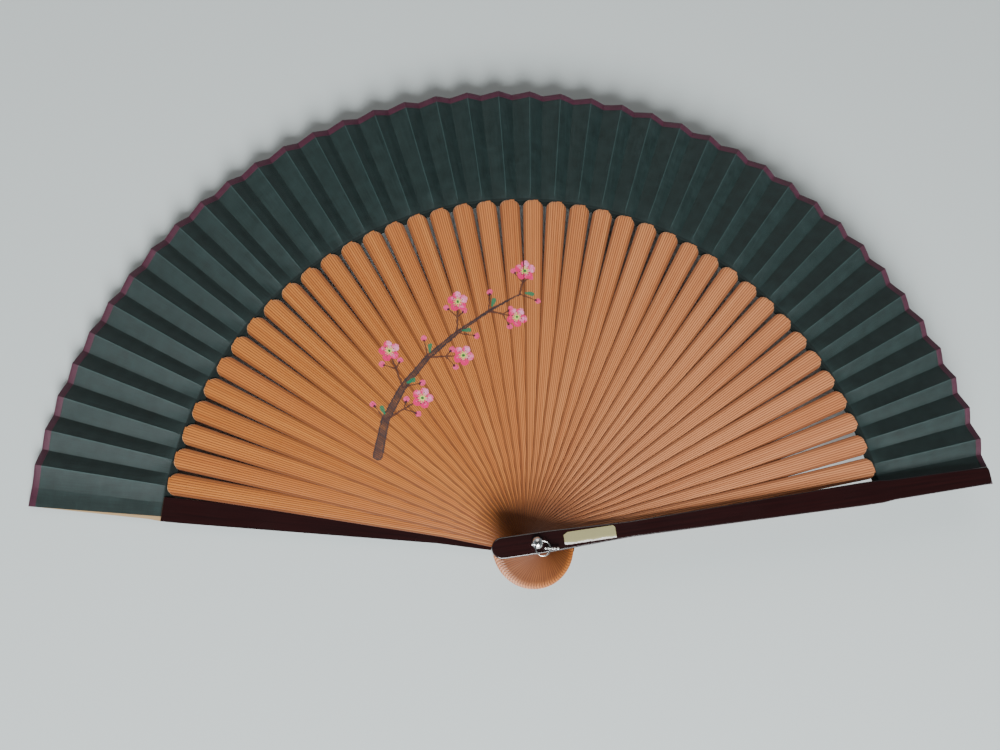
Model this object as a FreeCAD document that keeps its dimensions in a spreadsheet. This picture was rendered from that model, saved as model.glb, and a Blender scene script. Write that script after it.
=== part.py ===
"""Folding hand fan: bamboo sticks and lacquered guards on one rivet, carrying a pleated silk leaf.

Frame, in millimetres: the origin is on the rivet's axis at the underside of the back guard, +Z is up
through the stack of sticks, and +Y runs along the middle of the open fan. A stick's own frame has its
length along +X from the rivet. The back guard lies at the bottom left, each stick to its right lies one
layer higher, and the front guard lies on top at the right.
"""

import FreeCAD, Part
import math
import os
import Sketcher

from FreeCAD import Placement, Rotation, Vector

SIZES = (
    ("stick_count", 40, "sticks between the two guards"),
    ("open_angle", 166.4, "angle between the guards, fully open, degrees"),
    ("stick_thick", 0.32, "thickness of a stick"),
    ("layer_pitch", 0.36, "height from one stick to the next"),
    ("head_reach", 17.3, "rivet axis to the round end of a stick's head"),
    ("head_half", 4.0, "half width of a stick's head"),
    ("neck_start", 4.5, "where a stick starts to narrow"),
    ("waist_at", 35.0, "where a stick is narrowest"),
    ("waist_half", 2.95, "half width there"),
    ("belly_at", 101.0, "station between the waist and the top"),
    ("belly_half", 3.65, "half width there"),
    ("slat_reach", 142.4, "rivet axis to the round top of a stick's slat"),
    ("slat_half", 4.35, "half width at the top"),
    ("slat_corner", 3.9, "corner radius of the round top"),
    ("rib_root", 140.4, "where the thin rib leaves the slat"),
    ("rib_reach", 188.0, "rivet axis to the rib's end"),
    ("rib_root_width", 3.0, "rib's width at the slat"),
    ("rib_end_width", 2.2, "rib's width at its end"),
    ("rib_thick", 0.16, "rib's thickness"),
    ("guard_thick", 1.9, "thickness of a guard"),
    ("guard_head_reach", 17.6, "rivet axis to the round end of a guard's head"),
    ("guard_head_half", 4.1, "half width of a guard's head"),
    ("guard_neck_start", 5.0, "where a guard starts to narrow"),
    ("guard_waist_at", 37.0, "where a guard is narrowest"),
    ("guard_waist_half", 3.05, "half width there"),
    ("guard_belly_at", 134.0, "where a guard is widest again"),
    ("guard_belly_half", 4.6, "half width there"),
    ("guard_shoulder_at", 142.0, "start of the shoulder"),
    ("guard_tail_at", 147.0, "end of the shoulder"),
    ("guard_tail_half", 4.1, "half width of the tail there"),
    ("guard_reach", 190.6, "rivet axis to the guard's outer end"),
    ("guard_end_half", 3.6, "half width at the outer end"),
    ("guard_corner", 1.5, "corner radius of the outer end"),
    ("guard_round", 0.6, "rounding of the guard's outside edges"),
    ("recess_start", 142.5, "where the guard thins to take the silk"),
    ("recess_deep", 0.9, "how much it thins"),
    ("cutting_room", 8.0, "how far a cut runs past a guard"),
    ("pin_radius", 1.5, "rivet shank"),
    ("hole_radius", 1.55, "rivet hole in the sticks and guards"),
    ("running_gap", 0.04, "gap between neighbouring layers"),
    ("counterbore_radius", 2.7, "recess for the rivet's washer under the back guard"),
    ("counterbore_deep", 0.8, "its depth"),
    ("washer_radius", 2.6, "washer's outside"),
    ("washer_thick", 0.4, "washer's thickness"),
    ("tail_radius", 2.2, "rivet's spread tail"),
    ("tail_thick", 0.3, "its thickness"),
    ("dome_radius", 2.4, "rivet's domed head"),
    ("dome_tall", 2.5, "its height over the front guard"),
    ("eye_height", 1.42, "height of the head's cross hole over the front guard"),
    ("eye_radius", 0.36, "cross hole at its waist"),
    ("eye_past_dome", 0.1, "how far the cut runs past the dome"),
    ("ring_radius", 2.8, "jump ring, to the middle of its wire"),
    ("ring_wire_radius", 0.25, "its wire"),
    ("ring_bearing", -49.0, "direction in which the ring lies from the rivet, degrees"),
    ("ring_tilt", 3.0, "how far the ring dips outwards at rest, degrees"),
    ("chain_bearing", 47.0, "where the ball chain hangs on the ring, from its far point, degrees"),
    ("bead_radius", 0.5, "chain bead"),
    ("bead_near", 0.8, "ring's wire to the beads beside it, along the chain"),
    ("bead_high", 0.55, "ring's wire to the same beads, up or down"),
    ("bead_step", 0.95, "those beads to the loop's end beads, along the chain"),
    ("last_bead_step", 1.25, "loop's outer end bead to the last bead"),
    ("last_bead_radius", 0.6, "the chain's end bead"),
    ("link_radius", 0.12, "wire between beads"),
    ("label_length", 20.4, "paper label"),
    ("label_width", 4.8, "its width"),
    ("label_thick", 0.1, "its thickness"),
    ("label_start", 10.4, "rivet axis to the label"),
    ("ridge_turn", 0.5, "pleat's ridge from its stick's axis, degrees"),
    ("valley_turn", -1.4, "pleat's valley from its stick's axis, degrees"),
    ("guard_edge_turn", 1.1, "outer edge of the silk glued on a guard, degrees"),
    ("guard_fold_turn", -1.0, "where the silk leaves the back guard, degrees"),
    ("leaf_inner", 142.7, "silk's inner radius"),
    ("half_fold_at", 146.5, "radius in the stretch where the pleats grow"),
    ("full_fold_at", 150.5, "radius from which the pleats are full height"),
    ("leaf_outer", 188.8, "silk's outer radius, under the rim tape"),
    ("tape_inner", 188.85, "rim tape's inner radius"),
    ("tape_outer", 191.2, "rim tape's outer radius"),
    ("silk_thick", 0.1, "silk with its backing"),
    ("tape_thick", 0.3, "rim tape, folded over the silk's edge"),
    ("silk_lift", 0.17, "from what the silk is glued on to the middle of the silk"),
    ("inner_rise", 0.12, "half height of a pleat at the inner edge"),
    ("rim_rise", 1.7, "half height of a pleat at the rim"),
)

os.makedirs("parts", exist_ok=True)
doc = FreeCAD.newDocument("hand_fan")
sheet = doc.addObject("Spreadsheet::Sheet", "Sizes")
for row, (alias, number, meaning) in enumerate(SIZES, start=1):
    sheet.set(f"A{row}", alias)
    sheet.set(f"B{row}", str(number))
    sheet.set(f"C{row}", meaning)
    sheet.setAlias(f"B{row}", alias)

derived_rows = (
    ("stick_pitch", "=open_angle / (stick_count + 1)", "angle from one stick to the next"),
    ("back_bearing", "=90 + open_angle / 2", "direction of the back guard"),
    ("first_layer", "=guard_thick + running_gap", "underside of the lowest stick"),
    ("front_layer", "=first_layer + stick_count * layer_pitch", "underside of the front guard"),
    ("front_top", "=front_layer + guard_thick", "top of the front guard"),
    ("tail_top", "=guard_thick - recess_deep", "top of the back guard's thin tail"),
)
for row, (alias, formula, meaning) in enumerate(derived_rows, start=len(SIZES) + 1):
    sheet.set(f"A{row}", alias)
    sheet.set(f"B{row}", formula)
    sheet.set(f"C{row}", meaning)
    sheet.setAlias(f"B{row}", alias)
doc.recompute()


def size(alias):
    """A cell's number."""
    return float(getattr(sheet, alias))


def origin_plane(body, role):
    """One of a body's own origin planes, such as XY_Plane."""
    return next(f for f in body.Origin.OriginFeatures if f.Role == role)


def new_sketch(body, name, role="XY_Plane"):
    sketch = body.newObject("Sketcher::SketchObject", name)
    sketch.AttachmentSupport = [(origin_plane(body, role), "")]
    sketch.MapMode = "FlatFace"
    return sketch


def bound(sketch, name, constraint, formula):
    """Adds a driving constraint whose value is a formula of the sheet's cells."""
    index = sketch.addConstraint(constraint)
    sketch.renameConstraint(index, name)
    sketch.setExpression(f"Constraints.{name}", formula)


def place(item, angle, height):
    """Turns a piece about the rivet's axis and lifts it, both by formulas of the sheet's cells."""
    item.Placement = Placement(Vector(0, 0, 0), Rotation(Vector(0, 0, 1), 1))
    item.setExpression("Placement.Rotation.Angle", f"({angle}) * 1 deg")
    item.setExpression("Placement.Base.z", f"({height}) * 1 mm")


def flat_outline(sketch, head_reach, stations, reach, corner):
    """A long outline, mirrored about its own length: a half-round head, straight sides through the
    stations, a rounded outer end, and the rivet's hole. Stations are pairs of cells (distance, half width)."""
    head_half = stations[0][1]
    start = Vector(-(size(head_reach) - size(head_half)), size(head_half), 0)
    upper = [start] + [Vector(size(x), size(y), 0) for x, y in stations[:-1]]
    end_half = stations[-1][1]
    radius = size(corner)
    upper.append(Vector(size(reach) - radius, size(end_half), 0))
    tip = Vector(size(reach), size(end_half) - radius, 0)

    def below(point):
        return Vector(point.x, -point.y, 0)

    top = [sketch.addGeometry(Part.LineSegment(a, b)) for a, b in zip(upper, upper[1:])]
    centre = Vector(upper[-1].x, tip.y, 0)
    top_corner = sketch.addGeometry(Part.ArcOfCircle(
        Part.Circle(centre, Vector(0, 0, 1), radius), 0, math.pi / 2))
    end = sketch.addGeometry(Part.LineSegment(tip, below(tip)))
    low_corner = sketch.addGeometry(Part.ArcOfCircle(
        Part.Circle(below(centre), Vector(0, 0, 1), radius), -math.pi / 2, 0))
    low = [sketch.addGeometry(Part.LineSegment(below(a), below(b))) for a, b in zip(upper, upper[1:])]
    head = sketch.addGeometry(Part.ArcOfCircle(
        Part.Circle(Vector(start.x, 0, 0), Vector(0, 0, 1), start.y), math.pi / 2, 3 * math.pi / 2))
    hole = sketch.addGeometry(Part.Circle(Vector(0, 0, 0), Vector(0, 0, 1), size("hole_radius")))

    join = [("Coincident", a, 2, b, 1) for side in (top, low) for a, b in zip(side, side[1:])]
    join += [("Coincident", top[-1], 2, top_corner, 2), ("Coincident", top_corner, 1, end, 1)]
    join += [("Coincident", end, 2, low_corner, 2), ("Coincident", low_corner, 1, low[-1], 2)]
    join += [("Coincident", head, 1, top[0], 1), ("Coincident", head, 2, low[0], 1)]
    join += [("Symmetric", a, 1, b, 1, -1) for a, b in zip(top, low)]
    join += [("Symmetric", top[-1], 2, low[-1], 2, -1), ("Symmetric", end, 1, end, 2, -1)]
    join += [("Vertical", head, 3, top[0], 1), ("Vertical", low_corner, 3, low[-1], 2)]
    join += [("Vertical", top_corner, 3, top[-1], 2), ("Horizontal", top_corner, 3, end, 1)]
    join += [("Coincident", hole, 3, -1, 1)]
    for words in join:
        sketch.addConstraint(Sketcher.Constraint(*words))

    bound(sketch, "head_x", Sketcher.Constraint("DistanceX", top[0], 1, -1, 1, -start.x),
          f"Sizes.{head_reach} - Sizes.{head_half}")
    bound(sketch, "head_y", Sketcher.Constraint("DistanceY", -1, 1, top[0], 1, start.y),
          f"Sizes.{head_half}")
    for number, (x, y) in enumerate(stations[:-1]):
        point = upper[number + 1]
        bound(sketch, f"x_{number}", Sketcher.Constraint("DistanceX", -1, 1, top[number], 2, point.x),
              f"Sizes.{x}")
        bound(sketch, f"y_{number}", Sketcher.Constraint("DistanceY", -1, 1, top[number], 2, point.y),
              f"Sizes.{y}")
    bound(sketch, "end_x", Sketcher.Constraint("DistanceX", -1, 1, end, 1, tip.x), f"Sizes.{reach}")
    bound(sketch, "end_y", Sketcher.Constraint("DistanceY", -1, 1, top[-1], 2, upper[-1].y),
          f"Sizes.{end_half}")
    bound(sketch, "corner", Sketcher.Constraint("Radius", top_corner, radius), f"Sizes.{corner}")
    bound(sketch, "hole", Sketcher.Constraint("Radius", hole, size("hole_radius")), "Sizes.hole_radius")


def pad(body, sketch, thickness):
    feature = body.newObject("PartDesign::Pad", sketch.Name + "_pad")
    feature.Profile = sketch
    feature.setExpression("Length", f"Sizes.{thickness}")
    return feature


# ---- pleats: where the silk folds, and how steep it is ----

def fold_rise(radius):
    """Half height of the pleats at a radius: small at the silk's inner edge, then growing evenly outwards."""
    full = size("rim_rise") * radius / size("tape_outer")
    start, end = size("leaf_inner"), size("full_fold_at")
    share = min(max((radius - start) / (end - start), 0), 1)
    return size("inner_rise") + share * (full - size("inner_rise"))


def panel_tilt(radius):
    """Slope of the panel glued on a stick, in degrees, at a radius."""
    width = radius * math.radians(size("ridge_turn") - size("valley_turn"))
    return math.degrees(math.atan(2 * fold_rise(radius) / width))


def stick_bearing(number):
    return size("back_bearing") - number * size("stick_pitch")


def stick_middle(number):
    """Height of the middle of a stick's thickness."""
    return size("first_layer") + (number - 1) * size("layer_pitch") + size("stick_thick") / 2


def fold_line(radius):
    """The silk's middle surface at a radius, from the back guard to the front guard, as points."""
    rise, lift = fold_rise(radius), size("silk_lift")
    back_height = size("tail_top") + lift
    front_height = size("front_layer") + size("recess_deep") - lift
    count = int(size("stick_count"))
    folds = [(stick_bearing(0) + size("guard_edge_turn"), back_height)]
    folds.append((stick_bearing(0) + size("guard_fold_turn"), back_height))
    for number in range(1, count + 1):
        middle = stick_middle(number) + lift
        folds.append((stick_bearing(number) + size("ridge_turn"), middle + rise))
        folds.append((stick_bearing(number) + size("valley_turn"), middle - rise))
    folds.append((stick_bearing(count + 1) + size("ridge_turn"), front_height))
    folds.append((stick_bearing(count + 1) - size("guard_edge_turn"), front_height))
    return [Vector(radius * math.cos(math.radians(turn)), radius * math.sin(math.radians(turn)), height)
            for turn, height in folds]


def pleated_band(radii, thickness):
    """A closed solid of even thickness that follows the folds between the radii."""
    half = Vector(0, 0, thickness / 2)
    lines = [fold_line(radius) for radius in radii]
    faces = []

    def add(*corners):
        faces.append(Part.Face(Part.makePolygon(list(corners) + [corners[0]])))

    def add_quad(a, b, c, d):
        add(a, b, d)
        add(b, c, d)

    for inner, outer in zip(lines, lines[1:]):
        for a, b, c, d in zip(inner, outer, outer[1:], inner[1:]):
            add_quad(a + half, b + half, c + half, d + half)
            add_quad(a - half, d - half, c - half, b - half)
        for a, b in ((inner[0], outer[0]), (inner[-1], outer[-1])):
            add_quad(a + half, b + half, b - half, a - half)
    for line in (lines[0], lines[-1]):
        for a, b in zip(line, line[1:]):
            add_quad(a + half, b + half, b - half, a - half)
    skin = Part.makeCompound(faces)
    skin.sewShape()
    solid = Part.makeSolid(skin.Shells[0])
    if solid.Volume < 0:
        solid.reverse()
    return solid


# ---- sticks ----

STICK_STATIONS = (
    ("neck_start", "head_half"),
    ("waist_at", "waist_half"),
    ("belly_at", "belly_half"),
    (None, "slat_half"),
)


def rib_section(distance, width, tilt):
    """A rib's cross-section: a thin rectangle across the rib, turned about the rib's length."""
    half_width, half_thick = width / 2, size("rib_thick") / 2
    corners = [(half_width, half_thick), (-half_width, half_thick)]
    corners += [(-half_width, -half_thick), (half_width, -half_thick)]
    turn = math.radians(tilt)
    points = [Vector(distance,
                     y * math.cos(turn) - z * math.sin(turn),
                     y * math.sin(turn) + z * math.cos(turn)) for y, z in corners]
    return Part.makePolygon(points + [points[0]])


def rib_shape():
    """The thin rib that goes on from the slat under the silk: it leaves the slat flat and turns until it
    lies against the pleat's glued panel."""
    root, reach = size("rib_root"), size("rib_reach")
    distances = (root, size("leaf_inner"), size("half_fold_at"), size("full_fold_at"), reach)
    sections = []
    for distance in distances:
        share = (distance - root) / (reach - root)
        width = size("rib_root_width") + share * (size("rib_end_width") - size("rib_root_width"))
        tilt = 0 if distance == root else panel_tilt(distance)
        sections.append(rib_section(distance, width, tilt))
    shape = Part.makeLoft(sections, True, True)
    middle = (size("ridge_turn") + size("valley_turn")) / 2
    shape.rotate(Vector(0, 0, 0), Vector(0, 0, 1), middle)
    shape.translate(Vector(0, 0, size("stick_thick") / 2))
    return shape


def make_stick(number):
    """One bamboo stick, in its own layer on the rivet."""
    name = f"stick_{number:02d}"
    slat = doc.addObject("PartDesign::Body", name + "_slat")
    outline = new_sketch(slat, name + "_outline")
    flat_outline(outline, "head_reach", STICK_STATIONS, "slat_reach", "slat_corner")
    pad(slat, outline, "stick_thick")
    rib = doc.addObject("Part::Feature", name + "_rib")
    rib.Shape = rib_shape()
    stick = doc.addObject("Part::Fuse", name)
    stick.Base = slat
    stick.Tool = rib
    place(stick, f"Sizes.back_bearing - {number} * Sizes.stick_pitch",
          f"Sizes.first_layer + {number - 1} * Sizes.layer_pitch")
    return stick


# ---- guards ----

GUARD_STATIONS = (
    ("guard_neck_start", "guard_head_half"),
    ("guard_waist_at", "guard_waist_half"),
    ("guard_belly_at", "guard_belly_half"),
    ("guard_shoulder_at", "guard_belly_half"),
    ("guard_tail_at", "guard_tail_half"),
    (None, "guard_end_half"),
)


def flat_end(shape, top):
    """Name of the flat face at the top or the bottom of a shape."""
    faces = [(face.CenterOfMass.z, index) for index, face in enumerate(shape.Faces, start=1)]
    return f"Face{(max(faces) if top else min(faces))[1]}"


def round_outside(body, outside_up):
    """Rounds the edges of a guard's outside face."""
    slab = body.Tip
    rounding = body.newObject("PartDesign::Fillet", body.Name + "_rounding")
    rounding.Base = (slab, [flat_end(slab.Shape, outside_up)])
    rounding.setExpression("Radius", "Sizes.guard_round")
    doc.recompute()


def thin_the_tail(body, outside_up):
    """Cuts the inside face of a guard's tail back, to leave room for the silk glued there."""
    outline = new_sketch(body, body.Name + "_recess_outline")
    left, right = size("recess_start"), size("guard_reach") + size("cutting_room")
    side = size("cutting_room")
    points = [Vector(left, -side, 0), Vector(right, -side, 0), Vector(right, side, 0), Vector(left, side, 0)]
    lines = [outline.addGeometry(Part.LineSegment(a, b)) for a, b in zip(points, points[1:] + points[:1])]
    for a, b in zip(lines, lines[1:] + lines[:1]):
        outline.addConstraint(Sketcher.Constraint("Coincident", a, 2, b, 1))
    for line, direction in zip(lines, ("Horizontal", "Vertical", "Horizontal", "Vertical")):
        outline.addConstraint(Sketcher.Constraint(direction, line))
    bound(outline, "start", Sketcher.Constraint("DistanceX", -1, 1, lines[0], 1, left), "Sizes.recess_start")
    bound(outline, "finish", Sketcher.Constraint("DistanceX", -1, 1, lines[0], 2, right),
          "Sizes.guard_reach + Sizes.cutting_room")
    bound(outline, "low", Sketcher.Constraint("DistanceY", lines[0], 1, -1, 1, side), "Sizes.cutting_room")
    bound(outline, "high", Sketcher.Constraint("DistanceY", -1, 1, lines[2], 1, side), "Sizes.cutting_room")
    recess = body.newObject("PartDesign::Pocket", body.Name + "_recess")
    recess.Profile = outline
    recess.Reversed = True
    recess.setExpression("Length", "Sizes.recess_deep")
    if not outside_up:
        outline.setExpression("AttachmentOffset.Base.z", "Sizes.tail_top * 1 mm")


def seat_for_washer(body):
    """The round recess under the back guard that holds the rivet's washer and tail."""
    outline = new_sketch(body, body.Name + "_counterbore_outline")
    circle = outline.addGeometry(
        Part.Circle(Vector(0, 0, 0), Vector(0, 0, 1), size("counterbore_radius")))
    outline.addConstraint(Sketcher.Constraint("Coincident", circle, 3, -1, 1))
    bound(outline, "radius", Sketcher.Constraint("Radius", circle, size("counterbore_radius")),
          "Sizes.counterbore_radius")
    seat = body.newObject("PartDesign::Pocket", body.Name + "_counterbore")
    seat.Profile = outline
    seat.Reversed = True
    seat.setExpression("Length", "Sizes.counterbore_deep")


def make_guard(name, outside_up):
    """A lacquered guard: rounded outside, thin tail under the silk."""
    body = doc.addObject("PartDesign::Body", name)
    outline = new_sketch(body, name + "_outline")
    flat_outline(outline, "guard_head_reach", GUARD_STATIONS, "guard_reach", "guard_corner")
    pad(body, outline, "guard_thick")
    doc.recompute()
    round_outside(body, outside_up)
    thin_the_tail(body, outside_up)
    return body


# ---- rivet, washer, jump ring and ball chain ----

def closed_profile(sketch, points):
    """Straight lines through the points, joined end to end; returns the lines."""
    lines = [sketch.addGeometry(Part.LineSegment(a, b)) for a, b in zip(points, points[1:])]
    for a, b in zip(lines, lines[1:]):
        sketch.addConstraint(Sketcher.Constraint("Coincident", a, 2, b, 1))
    return lines


def make_rivet():
    """Shank, spread tail and domed head in one piece, with a waisted cross hole through the head. The hole
    widens along the ring's own curve, so that the ring can swing in it."""
    body = doc.addObject("PartDesign::Body", "rivet")
    profile = new_sketch(body, "rivet_profile", "XZ_Plane")
    foot = size("counterbore_deep") - size("washer_thick") - size("tail_thick")
    dome_base = size("front_top") + size("running_gap")
    dome_top = dome_base + size("dome_tall")
    outline = [Vector(0, foot, 0), Vector(size("tail_radius"), foot, 0)]
    outline.append(Vector(size("tail_radius"), foot + size("tail_thick"), 0))
    outline.append(Vector(size("pin_radius"), foot + size("tail_thick"), 0))
    outline.append(Vector(size("pin_radius"), dome_base, 0))
    outline.append(Vector(size("dome_radius"), dome_base, 0))
    lines = closed_profile(profile, outline)
    crown = (size("dome_tall") ** 2 - size("dome_radius") ** 2) / (2 * size("dome_tall"))
    centre = Vector(0, dome_base + crown, 0)
    sphere_radius = size("dome_tall") - crown
    low_end = math.atan2(-crown, size("dome_radius"))
    dome = profile.addGeometry(Part.ArcOfCircle(
        Part.Circle(centre, Vector(0, 0, 1), sphere_radius), low_end, math.pi / 2))
    axis = profile.addGeometry(Part.LineSegment(Vector(0, dome_top, 0), Vector(0, foot, 0)))
    join = [("Coincident", lines[-1], 2, dome, 1), ("Coincident", dome, 2, axis, 1)]
    join += [("Coincident", axis, 2, lines[0], 1), ("PointOnObject", dome, 3, -2)]
    join += [("PointOnObject", axis, 1, -2), ("PointOnObject", axis, 2, -2)]
    join += [("Horizontal", lines[0]), ("Vertical", lines[1]), ("Horizontal", lines[2])]
    join += [("Vertical", lines[3]), ("Horizontal", lines[4])]
    for words in join:
        profile.addConstraint(Sketcher.Constraint(*words))
    foot_formula = "Sizes.counterbore_deep - Sizes.washer_thick - Sizes.tail_thick"
    bound(profile, "foot", Sketcher.Constraint("DistanceY", -1, 1, lines[0], 1, foot), foot_formula)
    bound(profile, "tail", Sketcher.Constraint("DistanceX", -1, 1, lines[0], 2, size("tail_radius")),
          "Sizes.tail_radius")
    bound(profile, "tail_top", Sketcher.Constraint("DistanceY", lines[1], 1, lines[1], 2, size("tail_thick")),
          "Sizes.tail_thick")
    bound(profile, "shank", Sketcher.Constraint("DistanceX", -1, 1, lines[3], 1, size("pin_radius")),
          "Sizes.pin_radius")
    bound(profile, "dome_base", Sketcher.Constraint("DistanceY", -1, 1, lines[3], 2, dome_base),
          "Sizes.front_top + Sizes.running_gap")
    bound(profile, "dome", Sketcher.Constraint("DistanceX", -1, 1, lines[4], 2, size("dome_radius")),
          "Sizes.dome_radius")
    bound(profile, "dome_top", Sketcher.Constraint("DistanceY", -1, 1, axis, 1, dome_top),
          "Sizes.front_top + Sizes.running_gap + Sizes.dome_tall")
    turned = body.newObject("PartDesign::Revolution", "rivet_turned")
    turned.Profile = profile
    turned.ReferenceAxis = (profile, ["V_Axis"])
    turned.Angle = 360
    doc.recompute()

    eye = new_sketch(body, "rivet_eye_profile")
    eye.setExpression("AttachmentOffset.Base.z", "(Sizes.front_top + Sizes.eye_height) * 1 mm")
    waist, bend = size("eye_radius"), size("ring_radius")
    half_length = size("dome_radius") + size("eye_past_dome")
    end_height = waist + bend - math.sqrt(bend ** 2 - half_length ** 2)
    corners = [Vector(half_length, end_height, 0), Vector(half_length, 0, 0)]
    corners += [Vector(-half_length, 0, 0), Vector(-half_length, end_height, 0)]
    sides = closed_profile(eye, corners)
    spread = math.asin(half_length / bend)
    flare = eye.addGeometry(Part.ArcOfCircle(
        Part.Circle(Vector(0, waist + bend, 0), Vector(0, 0, 1), bend),
        -math.pi / 2 - spread, -math.pi / 2 + spread))
    join = [("Coincident", sides[2], 2, flare, 1), ("Coincident", flare, 2, sides[0], 1)]
    join += [("Vertical", sides[0]), ("Vertical", sides[2]), ("PointOnObject", flare, 3, -2)]
    join += [("PointOnObject", sides[0], 2, -1), ("Symmetric", sides[1], 1, sides[1], 2, -2)]
    for words in join:
        eye.addConstraint(Sketcher.Constraint(*words))
    bound(eye, "bend", Sketcher.Constraint("Radius", flare, bend), "Sizes.ring_radius")
    bound(eye, "middle", Sketcher.Constraint("DistanceY", -1, 1, flare, 3, waist + bend),
          "Sizes.eye_radius + Sizes.ring_radius")
    bound(eye, "half_length", Sketcher.Constraint("DistanceX", -1, 1, sides[0], 2, half_length),
          "Sizes.dome_radius + Sizes.eye_past_dome")
    hole = body.newObject("PartDesign::Groove", "rivet_eye")
    hole.Profile = eye
    hole.ReferenceAxis = (eye, ["H_Axis"])
    hole.Angle = 360
    place(body, "Sizes.ring_bearing + 90", "0")
    return body


def make_washer():
    """The flat washer that the rivet's tail is spread over."""
    outside = doc.addObject("Part::Cylinder", "washer_outside")
    outside.setExpression("Radius", "Sizes.washer_radius")
    outside.setExpression("Height", "Sizes.washer_thick")
    inside = doc.addObject("Part::Cylinder", "washer_inside")
    inside.setExpression("Radius", "Sizes.hole_radius")
    inside.setExpression("Height", "Sizes.washer_thick")
    washer = doc.addObject("Part::Cut", "rivet_washer")
    washer.Base = outside
    washer.Tool = inside
    washer.setExpression("Placement.Base.z", "(Sizes.counterbore_deep - Sizes.washer_thick) * 1 mm")
    return washer


def place_with_ring(item):
    """Moves a piece from the ring's own frame, centred in the ring with +X away from the rivet, to the
    ring's place through the rivet's head, dipping outwards."""
    bearing = math.radians(size("ring_bearing"))
    level_axis = Vector(-math.sin(bearing), math.cos(bearing), 0)
    turned = Rotation(level_axis, size("ring_tilt")).multiply(Rotation(Vector(0, 0, 1), size("ring_bearing")))
    item.Placement = Placement(Vector(0, 0, 0), turned)
    reach = "Sizes.ring_radius * cos(Sizes.ring_tilt * 1 deg)"
    item.setExpression("Placement.Base.x", f"{reach} * cos(Sizes.ring_bearing * 1 deg) * 1 mm")
    item.setExpression("Placement.Base.y", f"{reach} * sin(Sizes.ring_bearing * 1 deg) * 1 mm")
    drop = "Sizes.ring_radius * sin(Sizes.ring_tilt * 1 deg)"
    item.setExpression("Placement.Base.z", f"(Sizes.front_top + Sizes.eye_height - {drop}) * 1 mm")


def make_ring():
    """The open wire ring for a tassel, closed through the rivet's head."""
    ring = doc.addObject("Part::Torus", "jump_ring")
    ring.setExpression("Radius1", "Sizes.ring_radius")
    ring.setExpression("Radius2", "Sizes.ring_wire_radius")
    place_with_ring(ring)
    return ring


def rod(start, end, radius):
    return Part.makeCylinder(radius, (end - start).Length, start, end - start)


def make_chain():
    """A short loop of ball chain round the ring's wire: one strand passes over the wire and one under it."""
    bearing = math.radians(size("chain_bearing"))
    outward = Vector(math.cos(bearing), math.sin(bearing), 0)

    def at(along, above):
        return outward * (size("ring_radius") + along) + Vector(0, 0, above)

    near, high = size("bead_near"), size("bead_high")
    far = near + size("bead_step")
    last = far + size("last_bead_step")
    loop = [at(near, high), at(-near, high), at(-far, 0), at(-near, -high), at(near, -high), at(far, 0)]
    pieces = [Part.makeSphere(size("bead_radius"), point) for point in loop]
    pieces += [rod(a, b, size("link_radius")) for a, b in zip(loop, loop[1:] + loop[:1])]
    pieces.append(rod(at(far, 0), at(last, 0), size("link_radius")))
    pieces.append(Part.makeSphere(size("last_bead_radius"), at(last, 0)))
    chain = doc.addObject("Part::Feature", "ball_chain")
    chain.Shape = pieces[0].multiFuse(pieces[1:])
    place_with_ring(chain)
    return chain


def make_label():
    """A blank paper label glued along the front guard's waist."""
    label = doc.addObject("Part::Box", "blank_label")
    label.setExpression("Length", "Sizes.label_length")
    label.setExpression("Width", "Sizes.label_width")
    label.setExpression("Height", "Sizes.label_thick")
    bearing = "(Sizes.back_bearing - Sizes.open_angle)"
    place(label, bearing, "Sizes.front_top")
    along, aside = f"cos({bearing} * 1 deg)", f"sin({bearing} * 1 deg)"
    half = "Sizes.label_width / 2"
    label.setExpression("Placement.Base.x", f"(Sizes.label_start * {along} + {half} * {aside}) * 1 mm")
    label.setExpression("Placement.Base.y", f"(Sizes.label_start * {aside} - {half} * {along}) * 1 mm")
    return label


# ---- the whole fan ----

LEAF_RADII = ("leaf_inner", "half_fold_at", "full_fold_at", "leaf_outer")


def make_band(name, radii, thickness):
    band = doc.addObject("Part::Feature", name)
    band.Shape = pleated_band([size(radius) for radius in radii], size(thickness))
    return band


back_guard = make_guard("guard_back", outside_up=False)
seat_for_washer(back_guard)
place(back_guard, "Sizes.back_bearing", "0")
front_guard = make_guard("guard_front", outside_up=True)
place(front_guard, "Sizes.back_bearing - Sizes.open_angle", "Sizes.front_layer")
nodes = [back_guard, front_guard]
nodes += [make_stick(number) for number in range(1, int(size("stick_count")) + 1)]
nodes.append(make_band("silk_leaf", LEAF_RADII, "silk_thick"))
nodes.append(make_band("rim_tape", ("tape_inner", "tape_outer"), "tape_thick"))
nodes += [make_rivet(), make_washer(), make_ring(), make_chain(), make_label()]
doc.recompute()

for item in doc.Objects:
    if "Invalid" in item.State or "Error" in item.State:
        raise RuntimeError(f"{item.Label} did not build: {item.State}")
for node in nodes:
    if node.Shape.isNull() or not node.Shape.isValid():
        raise RuntimeError(f"{node.Label} has no valid shape")
for node in nodes:
    node.Shape.exportStep(f"parts/{node.Label}.step")
print(f"{len(nodes)} nodes written")
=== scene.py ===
"""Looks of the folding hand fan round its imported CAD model.

Lengths are in millimetres up to the moment a mesh is made, angles in degrees. A stick's own frame has its
length along +X from the rivet. Sticks, pleats and tapes are numbered from the back guard (left, lowest)
to the front guard (right, highest), as in the CAD model.
"""

import math
import random

import bmesh
import bpy
import numpy as np
from mathutils import Matrix, Vector


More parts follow.
